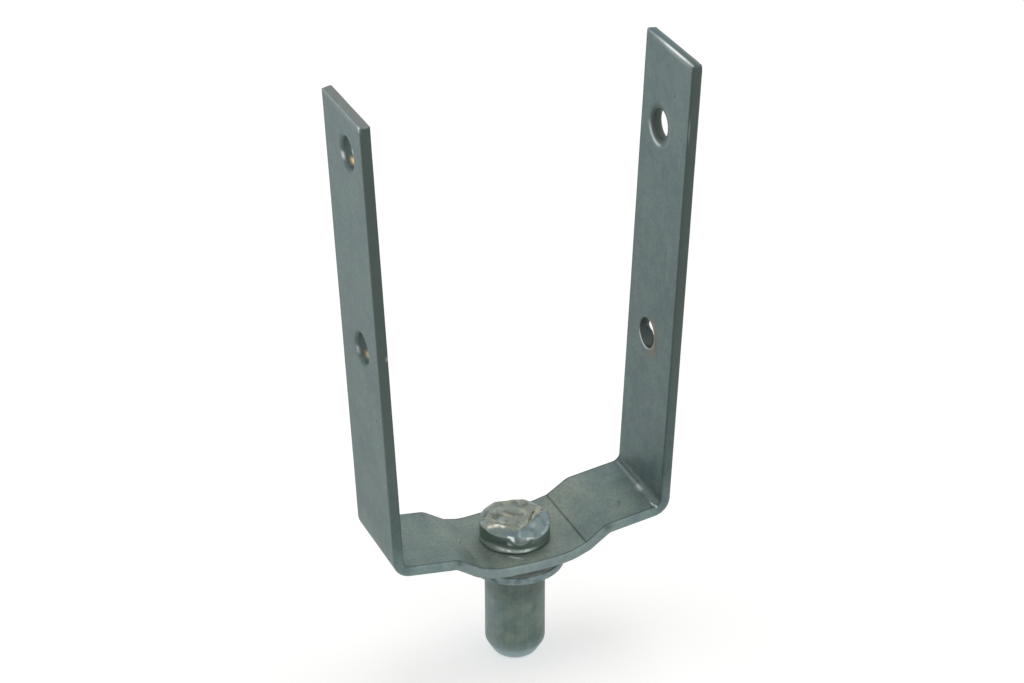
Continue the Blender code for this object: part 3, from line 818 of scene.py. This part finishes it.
def bar_zinc(colours):
    """Drawn round bar, dulled zinc, with a head hammered over cold.

    The bar has cloudy olive patches, painted light on its left side, a painted reflection of the floor on its
    chamfer, and painted shadow under the washer. The head has smooth blue-grey flats, darker ones at its
    front, olive bruises between them, cream smears with painted highlights on its gash and ledges, dark pits
    with painted shade, and painted highlights on its rims and lip.
    """
    material, tree = new_zinc("drawn_bar_hammered_head")
    place = add(tree, "ShaderNodeTexCoord", None, "Object")
    x, _, z = add(tree, "ShaderNodeSeparateXYZ", {0: place}, None)
    facet, dull, crown, cream, pit, scale, tip, rubbed = (
        add(tree, "ShaderNodeAttribute", None, "Fac", attribute_name=mark)
        for mark in ("facet", "dull", "crown", "cream", "pit", "scale", "tip", "rubbed")
    )
    drawn = add(tree, "ShaderNodeMapping",
                {"Vector": place, "Scale": (1 / (0.9 * MM), 1 / (0.9 * MM), 1 / (16 * MM))})
    struck = add(tree, "ShaderNodeMapping", {
        "Vector": place,
        "Rotation": (0, 0, math.radians(35)),
        "Scale": (1 / (1.9 * MM), 1 / (4.0 * MM), 1 / (2 * MM)),
    })
    patches, bruises, grain, lines, smears = (
        add(tree, "ShaderNodeTexNoise", {"Vector": where, "Scale": 1 / size, "Detail": detail})
        for where, size, detail in (
            (place, 3.4 * MM, 4.0), (place, 2.8 * MM, 3.0), (place, 0.6 * MM, 3.0),
            (drawn, 1.0, 2.0), (struck, 1.0, 3.0),
        )
    )
    share = {name: add(tree, "ShaderNodeMapRange", dict(enumerate(limits))) for name, limits in {
        "patchy": (patches, 0.36, 0.66, 0.0, 1.0),
        "lined": (lines, 0.3, 0.7, 0.92, 1.08),
        # Painted light on the pin's left side
        "left_side_light": (x, -6.4 * MM, -8.6 * MM, 0.0, 0.2),
        # Painted shadow on the bar just under the washer
        "under_washer_shadow": (z, -11.5 * MM, -7.2 * MM, 1.0, 0.7),
        "bruised": (bruises, 0.5, 0.36, 0.0, 0.9),
        "smeared": (smears, 0.53, 0.78, 0.0, 0.6),
        "bluish": (patches, 0.5, 0.66, 0.0, 0.45),
        "steely": (bruises, 0.22, 0.46, 0.0, 1.0),
        "grainy": (grain, 0.3, 0.7, 0.92, 1.08),
        "rough": (facet, 0.0, 1.0, 0.5, 0.36),
    }.items()}

    skin, zinc = colours.crown, colours.bar
    for part, tint in (("bruised", colours.shade), ("smeared", colours.cream), ("bluish", colours.facet)):
        skin = add(tree, "ShaderNodeMix", {0: share[part], 6: skin, 7: tint}, 2, data_type="RGBA")
    steel = add(tree, "ShaderNodeMix",
                {0: share["steely"], 6: colours.scale, 7: colours.facet}, 2, data_type="RGBA")
    for blend, amount, tint in (
        ("MIX", share["patchy"], colours.olive),
        ("MULTIPLY", 1.0, share["lined"]),
        ("MIX", share["left_side_light"], colours.lead_in),
        ("MULTIPLY", 1.0, share["under_washer_shadow"]),
        ("MIX", scale, colours.scale),
        ("MIX", tip, colours.lead_in),
        ("MIX", crown, skin),
        ("MIX", facet, steel),
        ("MIX", dull, colours.dull),
        ("MULTIPLY", 1.0, share["grainy"]),
        # Painted highlights on the head's gash, ledges, rims and lip, and painted shade in its pits
        ("MIX", cream, colours.cream),
        ("MIX", pit, colours.pit),
        ("MIX", rubbed, colours.rubbed),
    ):
        zinc = add(tree, "ShaderNodeMix", {0: amount, 6: zinc, 7: tint}, 2,
                   data_type="RGBA", blend_type=blend)
    normal = add(tree, "ShaderNodeBump", {"Height": patches, "Distance": 0.12 * MM, "Strength": 0.4})
    normal = add(tree, "ShaderNodeBump",
                 {"Height": grain, "Distance": 0.04 * MM, "Strength": 0.5, "Normal": normal})
    return finish_zinc(material, 0.6, base_color=zinc, roughness=share["rough"], normal=normal)


def washer_zinc(colours):
    """Punched steel washer, galvanised: soft patches like the strip's, a rubbed rim, and painted light on its
    top, which lies in shade under the strap.
    """
    material, tree = new_zinc("galvanised_washer")
    place = add(tree, "ShaderNodeTexCoord", None, "Object")
    edge, top = (
        add(tree, "ShaderNodeAttribute", None, "Fac", attribute_name=mark) for mark in ("edge", "top")
    )
    patches, grain = (
        add(tree, "ShaderNodeTexNoise", {"Vector": place, "Scale": 1 / size, "Detail": detail})
        for size, detail in ((3 * MM, 4.0), (0.6 * MM, 3.0))
    )
    patchy, wear_and_top_light, rough = (
        add(tree, "ShaderNodeMapRange", dict(enumerate((patches, *limits))))
        for limits in ((0.32, 0.68, 0.0, 1.0), (0.3, 0.8, 0.0, 0.2), (0.3, 0.7, 0.42, 0.56))
    )
    wear_and_top_light = add(tree, "ShaderNodeMath", {0: wear_and_top_light, 1: edge}, operation="MULTIPLY")
    # Painted light on the washer's top, which lies in shade under the strap
    wear_and_top_light = add(tree, "ShaderNodeMath", {0: top, 1: 0.75, 2: wear_and_top_light}, operation="MULTIPLY_ADD")
    zinc = colours.deep
    for amount, tint in ((patchy, colours.collar), (wear_and_top_light, colours.rubbed)):
        zinc = add(tree, "ShaderNodeMix", {0: amount, 6: zinc, 7: tint}, 2, data_type="RGBA")
    normal = add(tree, "ShaderNodeBump", {"Height": grain, "Distance": 0.03 * MM, "Strength": 0.6})
    return finish_zinc(material, 0.35, base_color=zinc, roughness=rough, normal=normal)


# Flats hammered on the head, in millimetres and degrees: direction and distance of the flat's inner border,
# height there, direction and slope in which it falls, and how far the blow polished it, or below zero how far
# it is darkened. The last nicked the front of the rim.
FLATS = (
    (172, 8.4, 14.75, 170, 26, 0.3),
    (128, 8.7, 14.70, 125, 24, 0.25),
    (80, 8.8, 14.65, 76, 28, 0.25),
    (28, 8.6, 14.70, 24, 26, 0.4),
    (-140, 6.9, 14.60, -140, 13, -0.6),
    (-108, 7.0, 14.40, -105, 14, -0.85),
    (-57, 5.2, 14.50, -60, 25, 0.95),
    (-103, 9.55, 13.75, -103, 72, -0.85),
)
STEEP = 60                          # degrees, above which a flat's border is straight
# Dents between the flats, in millimetres: place, radius and depth
DENTS = (
    (-3.8, -1.6, 2.2, 0.30), (2.2, 0.4, 2.0, 0.28), (3.6, 4.6, 1.8, 0.30), (-5.1, 2.5, 1.6, 0.35),
    (0.6, -4.4, 1.0, 0.30),
)
# Gashes, ledges and rims of the head, in millimetres: mark, half width, strength and path. The cream marks
# are smears with painted highlights, the pits are dark with painted shade, and the bright marks are painted
# highlights.
STROKES = (
    ("cream", 0.75, 0.9, (-9.4, -1.5), (-8.2, -2.1), (-6.4, -2.3), (-5.4, -3.6)),
    ("rubbed", 0.5, 0.9, (-7.0, -2.2), (-6.2, -2.4)),
    ("rubbed", 0.4, 0.85, (-5.7, -3.3), (-5.2, -3.9)),
    ("rubbed", 0.35, 0.4, (-9.2, -1.7), (-8.6, -2.0)),
    ("pit", 0.5, 1.0, (-6.2, -0.7), (-4.6, -2.0), (-3.3, -3.4)),
    ("cream", 0.7, 0.65, (8.8, 0.9), (7.9, 0.7), (5.9, -0.8), (4.6, -2.2)),
    ("cream", 0.65, 0.8, (3.0, -3.9), (2.3, -4.5), (0.7, -5.3)),
    ("pit", 0.6, 0.9, (10.2, 1.3), (9.0, 0.2)),
    ("pit", 0.35, 1.0, (6.5, 0.5), (4.4, -1.9), (2.6, -4.5)),
    ("pit", 0.75, 1.0, (-1.4, 3.8), (-0.9, 2.7)),
    ("pit", 0.8, 0.6, (-6.0, 1.9), (-5.4, 2.2)),
    ("pit", 0.8, 0.6, (-5.4, 4.3), (-4.6, 3.6)),
    ("pit", 0.7, 0.6, (-8.8, 2.9), (-7.9, 4.4), (-6.7, 5.9)),
    ("cream", 0.8, 0.4, (0.4, 8.0), (1.4, 7.6)),
    ("rubbed", 0.5, 0.2, (-8.2, 2.8), (-7.9, 2.9)),
    ("rubbed", 0.35, 1.0, (-5.6, -8.3), (-4.9, -8.8), (-4.4, -9.1)),
    ("rubbed", 0.28, 0.8, (-0.2, -10.0), (1.6, -9.9)),
    ("rubbed", 0.25, 0.5, (5.3, -8.5), (7.1, -7.1), (8.1, -5.9)),
    ("rubbed", 0.45, 0.3, (8.6, -4.8), (8.8, -4.7)),
    ("rubbed", 0.9, 0.3, (3.4, -5.9), (4.2, -5.4)),
)
STROKE_HEIGHT = {"cream": 0.12 * MM, "pit": -0.35 * MM, "rubbed": 0.05 * MM}
SEGMENTS = 200                      # points of each ring of the pin and the washer
TURN = np.arange(SEGMENTS) * math.tau / SEGMENTS
HEAD_RINGS, BROW_STEPS, SIDE_STEPS, LIP_STEPS, SKIRT_STEPS, SPIGOT_STEPS = 52, 5, 10, 5, 6, 12
TIP_STEP = math.radians(8.0)
TIP_RINGS = (0.97, 0.6, 0.3)        # shares of the radius of the flat tip
CHAMFER = 0.25 * MM                 # at the shoulder of the pin
TENON_SUPPORT = 0.4 * MM            # keeps the tenon straight right up to its ends
FRONT = math.radians(-122)          # where the head's lip is squeezed out most
CLIMB = math.radians(28)            # from there to where the lip stands highest
HEAD_SIDE = 11.0 * MM               # height below which the head's side has no marks of its top
RIM_STEPS = 5
BORE_CHAMFER = 0.15 * MM            # at the top of the washer's bore
LEVEL = 0.01 * MM                   # within which heights count as the same


def cloud(x, y, size, seed):
    """Soft noise from about -1 to 1, over the given size."""
    return np.array([noise.noise(Vector((a / size, b / size, seed))) for a, b in zip(x, y)])


def from_path(x, y, path):
    """Distance from a path through points in millimetres."""
    away = np.full(len(x), np.inf)
    for start, end in zip(np.array(path) * MM, np.array(path[1:]) * MM):
        run = end - start
        share = np.clip(((x - start[0]) * run[0] + (y - start[1]) * run[1]) / (run @ run), 0, 1)
        away = np.minimum(away, np.hypot(x - start[0] - share * run[0], y - start[1] - share * run[1]))
    return away


def hammered(x, y, top):
    """Height of the head's top, and how far each point is flat, smeared, pitted or bright.

    The smears and bright points carry painted highlights, and the pits painted shade.
    """
    warp = 0.55 * MM * cloud(x, y, 2.6 * MM, 2.2) + 0.25 * MM * cloud(x, y, 0.9 * MM, 8.1)
    height = top + 0.18 * MM * cloud(x, y, 2.2 * MM, 0.7) + 0.08 * MM * cloud(x, y, 0.9 * MM, 5.3) - 0.15 * MM
    for dent_x, dent_y, radius, depth in np.array(DENTS) * MM:
        height -= depth * smooth(radius - np.hypot(x - dent_x, y - dent_y) + 0.5 * warp, 0.0, radius)
    flat = np.zeros(len(x))
    for border, inner, level, fall, slope, polish in FLATS:
        ragged = 0.8 * warp * (slope < STEEP)
        border, fall, slope = np.radians((border, fall, slope))
        inner_x, inner_y = inner * MM * np.cos(border), inner * MM * np.sin(border)
        past = x * np.cos(border) + y * np.sin(border) - inner * MM + ragged
        over = (x - inner_x) * np.cos(fall) + (y - inner_y) * np.sin(fall)
        plane = level * MM - np.tan(slope) * over + 0.12 * warp
        share = smooth(past, 0.0, 0.3 * MM) * smooth(height - plane, -0.05 * MM, 0.05 * MM)
        struck = smooth(past, -0.6 * MM, 1.0 * MM) * smooth(height - plane, -0.35 * MM, 0.2 * MM)
        height += share * (np.minimum(height, plane) - height)
        flat += struck * (polish - flat)
    marks = {mark: np.zeros(len(x)) for mark in STROKE_HEIGHT}
    broken = 0.45 + 0.55 * smooth(cloud(x, y, 1.3 * MM, 3.9), -0.25, 0.3)
    for mark, width, strength, *path in STROKES:
        near = bump(from_path(x, y, path) + 0.5 * warp * (mark != "rubbed"), width * MM)
        marks[mark] = np.maximum(marks[mark], strength * near * (1.0 if mark == "rubbed" else broken))
        height += STROKE_HEIGHT[mark] * near
    return height, {"facet": np.maximum(flat, 0), "dull": np.maximum(-flat, 0), **marks}


def ring(radius, height):
    """Points round the pin's axis, with one radius and height for all or for each of them."""
    radius, height, turn = np.broadcast_arrays(radius, height, TURN)
    return np.column_stack((np.cos(turn) * radius, np.sin(turn) * radius, height))


def revolved(rings, closed):
    """Faces that join rings of points to the rings that follow them, and if closed the last to the first."""
    faces = []
    for i in range(rings if closed else rings - 1):
        here, there = i * SEGMENTS, (i + 1) % rings * SEGMENTS
        for m in range(SEGMENTS):
            after = (m + 1) % SEGMENTS
            faces.append((here + m, there + m, there + after, here + after))
    return faces


def lip_at(sizes, turn):
    """How far an angle is from the front, and the top of the head's lip there, which climbs to the left."""
    aside = np.arctan2(np.sin(turn - FRONT), np.cos(turn - FRONT))
    return aside, sizes.head_under + sizes.skirt + sizes.lip * (1 + 1.3 * bump(aside + CLIMB, CLIMB))


def pin_mesh(sizes):
    """Head, tenon, shoulder and spigot, with the marks of each vertex."""
    wobble = 0.25 * MM * smooth(cloud(np.cos(TURN), np.sin(TURN), 0.6, 3.1), -0.5, 0.6)
    head, brow, skirt = sizes.head - wobble, sizes.brow, sizes.skirt
    skirt_top = sizes.head_under + skirt
    aside, lip_top = lip_at(sizes, TURN)
    waist = sizes.waist * (0.15 + 0.85 * smooth(np.cos(aside), 0.6, 0.92))
    rings = []
    for share in np.linspace(0, 1, HEAD_RINGS + 1)[1:]:
        across = ring((head - brow) * share, 0.0)
        rings.append(ring((head - brow) * share, hammered(*across[:, :2].T, sizes.head_top)[0]))
    rim = rings[-1][:, 2]
    for a in np.linspace(0, math.pi / 2, BROW_STEPS + 1)[1:]:
        rings.append(ring(head - brow + brow * math.sin(a), rim - brow * (1 - math.cos(a))))
    for share in np.linspace(0, 1, SIDE_STEPS + 1)[1:]:
        rings.append(ring(head - waist * smooth(share, 0, 1), (rim - brow) * (1 - share) + lip_top * share))
    for share in np.linspace(0, 1, LIP_STEPS + 1)[1:]:
        rings.append(ring(head - waist * (1 - share), lip_top * (1 - share) + skirt_top * share))
    for a in np.linspace(0, math.pi / 2, SKIRT_STEPS + 1)[1:]:
        rings.append(ring(head - skirt * (1 - math.cos(a)), skirt_top - skirt * math.sin(a)))

    shoulder = -sizes.shoulder
    corners = [(sizes.spigot, shoulder - CHAMFER), (sizes.spigot, PIN_TIP + sizes.taper),
               (sizes.spigot - sizes.inset, PIN_TIP), (0.0, PIN_TIP)]
    lead_in = rounded_line(corners, [sizes.tip_edge] * 2, TIP_STEP)[0]
    levels = (sizes.head_under, sizes.head_under - TENON_SUPPORT, shoulder + TENON_SUPPORT, shoulder)
    profile = [*((sizes.tenon, z) for z in levels), (sizes.spigot - CHAMFER, shoulder)]
    profile += [*np.linspace(lead_in[0], lead_in[1], SPIGOT_STEPS + 1), *lead_in[2:-1]]
    profile += [(lead_in[-2][0] * share, PIN_TIP) for share in TIP_RINGS]
    rings += [ring(radius, z) for radius, z in profile]

    middle = hammered(np.zeros(1), np.zeros(1), sizes.head_top)[0][0]
    verts = np.concatenate([*rings, [(0, 0, middle), (0, 0, PIN_TIP)]])
    faces = revolved(len(rings), closed=False)
    last = (len(rings) - 1) * SEGMENTS
    for m in range(SEGMENTS):
        after = (m + 1) % SEGMENTS
        faces.append((len(verts) - 2, m, after))
        faces.append((len(verts) - 1, last + after, last + m))
    return verts, faces, pin_marks(verts, sizes, head.min())


def pin_marks(verts, sizes, head_radius):
    """How far each vertex is hammered top, scaly side, lip or foot with a painted highlight, or lead-in."""
    x, y, z = verts.T
    on_head = (z > sizes.head_under - LEVEL).astype(float)
    on_top = 1 - smooth(np.hypot(x, y), head_radius - sizes.brow, head_radius + 0.1 * MM)
    on_top *= on_head * (z >= HEAD_SIDE)
    aside, lip_top = lip_at(sizes, np.arctan2(y, x))
    # Painted highlight along the head's lip, strongest at the front, and painted light on the foot's left
    # side
    lip = on_head * bump(z - 0.5 * (sizes.head_under + sizes.skirt + lip_top), 0.25 * MM)
    lip *= 0.3 + 0.7 * smooth(cloud(x, y, 1.2 * MM, 7.7), -0.3, 0.25)
    lit = 1 - smooth(np.abs(aside), math.radians(24), math.radians(52))
    left = 1 - smooth(np.abs(aside + 2.1 * CLIMB), 1.2 * CLIMB, 2.4 * CLIMB)
    foot = on_head * left * (1 - smooth(z, lip_top - 0.3 * MM, lip_top + 0.25 * MM))
    # The lead-in's pale tone, with a painted reflection of the floor on the tip's chamfer
    taper = smooth(PIN_TIP - z, -1.8 * sizes.taper, -0.35 * sizes.taper) ** 1.8
    marks = {mark: values * on_top for mark, values in hammered(x, y, sizes.head_top)[1].items()}
    marks["rubbed"] = np.maximum(marks["rubbed"], np.maximum(lip * lit, 0.3 * foot))
    return {**marks, "crown": on_top, "scale": on_head * (1 - on_top), "tip": 0.9 * taper}


def washer_mesh(sizes):
    """A ring whose section is rounded at the rim and rolled at the bore."""
    edge, roll, bore, top = sizes.edge, sizes.bore_roll, sizes.bore, sizes.thickness
    inset, quarter = sizes.radius - edge, math.pi / 2
    over = np.linspace((bore + BORE_CHAMFER, top), (inset, top), RIM_STEPS + 1)[:-1]
    rim = [*arc((inset, top - edge), edge, quarter, 0, RIM_STEPS),
           *arc((inset, edge), edge, 0, -quarter, RIM_STEPS)]
    under = [*np.linspace((inset, 0), (bore + roll, 0), RIM_STEPS + 1)[1:-1],
             *arc((bore + roll, roll), roll, -quarter, -math.pi, RIM_STEPS), (bore, top - BORE_CHAMFER)]
    rings = [ring(radius, z) for radius, z in (*over, *rim, *under)]
    verts = np.concatenate(rings)
    # The top mark takes painted light on the face that lies in shade under the strap
    marks = {
        "edge": np.repeat((0.0, 1.0, 0.0), [len(run) * SEGMENTS for run in (over, rim, under)]),
        "top": (verts[:, 2] > top - LEVEL).astype(float),
    }
    return verts, revolved(len(rings), closed=True), marks


def settle(piece, body, node):
    """Tie a finished piece to its body, and hide the solid that it stands for."""
    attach(piece, body)
    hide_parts(node)
    return {"FINISHED"}


class MakeStrap(Operator):
    """Cut, punch and bend the fork's strap"""

    bl_idname = "fork_bracket.make_strap"
    bl_label = "Fork strap"

    def execute(self, context):
        sizes, holes = context.scene.strap_sizes, context.scene.hole_sizes
        points, total, bends = strap_line(sizes)
        middle = (bends.left_dish[1] + bends.right_dish[0]) / 2
        punched = punched_holes(sizes, holes, total, middle)
        verts, faces = flat_strip(sizes, punched, total, bends)
        marks = strip_marks(verts, sizes, punched, total, bends)
        worked = work_strip(verts, sizes, holes.tear, punched, total, bends)
        strap = mesh_object("strap", worked, faces, marks)
        line = bend_curve(points)
        apply_tree(strap, bending_tree(), {
            "Bend line": line,
            "Strip width": sizes.width,
            "Bulge": sizes.bulge,
            "Bulge reach": sizes.bulge_reach,
            "Ripple depth": sizes.ripple,
            "Ripple length": sizes.ripple_length,
            "Seed": RIPPLE_SEED,
            "Zinc": strip_zinc(context.scene.zinc_colours, middle),
        })
        bpy.data.objects.remove(line, do_unlink=True)
        return settle(strap, "fork", "fork_strap")


class MakePin(Operator):
    """Turn the pin and hammer its head"""

    bl_idname = "fork_bracket.make_pin"
    bl_label = "Swivel pin"

    def execute(self, context):
        pin = mesh_object("pin", *pin_mesh(context.scene.pin_sizes))
        pin.data.materials.append(bar_zinc(context.scene.zinc_colours))
        return settle(pin, "pin", "swivel_pin")


class MakeWasher(Operator):
    """Punch the washer"""

    bl_idname = "fork_bracket.make_washer"
    bl_label = "Collar washer"

    def execute(self, context):
        washer = mesh_object("washer", *washer_mesh(context.scene.washer_sizes))
        washer.data.materials.append(washer_zinc(context.scene.zinc_colours))
        return settle(washer, "washer", "collar_washer")


FLOOR_SIDES, FLOOR_RADIUS, FLOOR_DROP = 96, 4.0, 0.05 * MM
FLOOR_GLOW = 0.46                   # brings the floor that is seen up to white
SURROUND_LIGHT = 0.55               # of the white surround, on what stands in it
SENSOR_WIDTH, NEAREST = 36.0, 0.01
LIT_PLACE = Vector((0, 0, 0.07))    # where the lamps point
# Round lamps: place, width, power and colour
LAMPS = {
    "window_lamp": ((-0.75, 0.25, 0.75), 0.6, 0.36, "#FFFFFF"),
    "top_lamp": ((0.1, 0.1, 1.0), 0.7, 1.95, "#FFFFFF"),
    "fill_lamp": ((0.5, -0.8, 0.4), 0.6, 0.3, "#FFF6E8"),
}


def seen_rays(owner):
    """The owner's emptied tree, and 1 on rays that should meet white: seen, mirrored or through glass."""
    owner.use_nodes = True
    tree = owner.node_tree
    tree.nodes.clear()
    ray = add(tree, "ShaderNodeLightPath", out=None)
    seen = ray["Is Camera Ray"]
    for kind in ("Is Glossy Ray", "Is Transmission Ray"):
        seen = add(tree, "ShaderNodeMath", {0: seen, 1: ray[kind]}, operation="ADD", use_clamp=True)
    return tree, seen


def pale_floor(tint):
    """Matt floor that takes soft shadows and is white where it is only background."""
    material = bpy.data.materials.new("pale_floor")
    tree, seen = seen_rays(material)
    glow = add(tree, "ShaderNodeMath", {0: seen, 1: FLOOR_GLOW}, operation="MULTIPLY")
    glow = add(tree, "ShaderNodeEmission", {"Color": (1, 1, 1), "Strength": glow})
    matt = add(tree, "ShaderNodeBsdfDiffuse", {"Color": tint})
    both = add(tree, "ShaderNodeAddShader", {0: glow, 1: matt})
    add(tree, "ShaderNodeOutputMaterial", {"Surface": both}, None)
    return material


def white_surround():
    """White on all sides, which shows brighter than it lights."""
    world = bpy.data.worlds.new("white_surround")
    tree, seen = seen_rays(world)
    level = add(tree, "ShaderNodeMapRange", {0: seen, 3: SURROUND_LIGHT, 4: 1.0})
    sky = add(tree, "ShaderNodeBackground", {"Color": (1, 1, 1), "Strength": level})
    add(tree, "ShaderNodeOutputWorld", {"Surface": sky}, None)
    return world


def aimed_camera(stage):
    """The camera at its distance from the aim, turned towards it and rolled."""
    view = bpy.data.cameras.new("camera")
    view.lens = stage.lens
    view.sensor_width = SENSOR_WIDTH
    view.clip_start = NEAREST
    camera = bpy.data.objects.new("camera", view)
    back = Vector((-math.sin(stage.azimuth) * math.cos(stage.elevation),
                   -math.cos(stage.azimuth) * math.cos(stage.elevation), math.sin(stage.elevation)))
    right = Vector((math.cos(stage.azimuth), -math.sin(stage.azimuth), 0))
    turned = Matrix((right, back.cross(right), back)).transposed() @ Matrix.Rotation(stage.roll, 3, "Z")
    camera.matrix_world = Matrix.Translation(Vector(stage.aim) + back * stage.distance) @ turned.to_4x4()
    return camera


class SetStage(Operator):
    """Lay the pale floor and place the lamps and the camera"""

    bl_idname = "fork_bracket.set_stage"
    bl_label = "Stage"

    def execute(self, context):
        scene, stage = context.scene, context.scene.stage_settings
        outline = arc((0, 0), FLOOR_RADIUS, 0, math.tau, FLOOR_SIDES)[:-1]
        disc = bpy.data.meshes.new("floor")
        disc.from_pydata([(x, y, PIN_TIP - FLOOR_DROP) for x, y in outline], [], [range(FLOOR_SIDES)])
        disc.materials.append(pale_floor(stage.floor))
        floor = bpy.data.objects.new("floor", disc)
        scene.collection.objects.link(floor)
        scene.world = white_surround()
        for name, (place, width, power, tint) in LAMPS.items():
            lamp = bpy.data.lights.new(name, "AREA")
            lamp.shape = "DISK"
            lamp.size = width
            lamp.energy = power
            lamp.color = tone(tint)
            holder = bpy.data.objects.new(name, lamp)
            holder.location = place
            holder.rotation_euler = (LIT_PLACE - Vector(place)).to_track_quat("-Z", "Y").to_euler()
            scene.collection.objects.link(holder)
        scene.camera = aimed_camera(stage)
        scene.collection.objects.link(scene.camera)
        scene.view_settings.view_transform = "Standard"
        return {"FINISHED"}


class ForkPanel(Panel):
    """Sizes, colours and steps of the fork bracket"""

    bl_idname = "VIEW3D_PT_fork_bracket"
    bl_label = "Fork bracket"
    bl_space_type = "VIEW_3D"
    bl_region_type = "UI"
    bl_category = "Fork bracket"

    def draw(self, context):
        for step in STEPS:
            self.layout.operator(step.bl_idname)
        for name, group in GROUPS.items():
            box = self.layout.box()
            box.label(text=name.replace("_", " ").capitalize())
            for field in group.__annotations__:
                box.prop(getattr(context.scene, name), field)


GROUPS = {
    "strap_sizes": StrapSizes,
    "hole_sizes": HoleSizes,
    "pin_sizes": PinSizes,
    "washer_sizes": WasherSizes,
    "zinc_colours": ZincColours,
    "stage_settings": StageSettings,
}
STEPS = (MakeStrap, MakePin, MakeWasher, SetStage)


def register():
    for made in (*GROUPS.values(), *STEPS, ForkPanel):
        bpy.utils.register_class(made)
    for name, group in GROUPS.items():
        setattr(bpy.types.Scene, name, PointerProperty(type=group))


def unregister():
    for name in GROUPS:
        delattr(bpy.types.Scene, name)
    for made in (ForkPanel, *reversed(STEPS), *reversed(GROUPS.values())):
        bpy.utils.unregister_class(made)


def main():
    register()
    bpy.ops.fork_bracket.make_strap()
    bpy.ops.fork_bracket.make_pin()
    bpy.ops.fork_bracket.make_washer()
    bpy.ops.fork_bracket.set_stage()


if __name__ == "__main__":
    main()
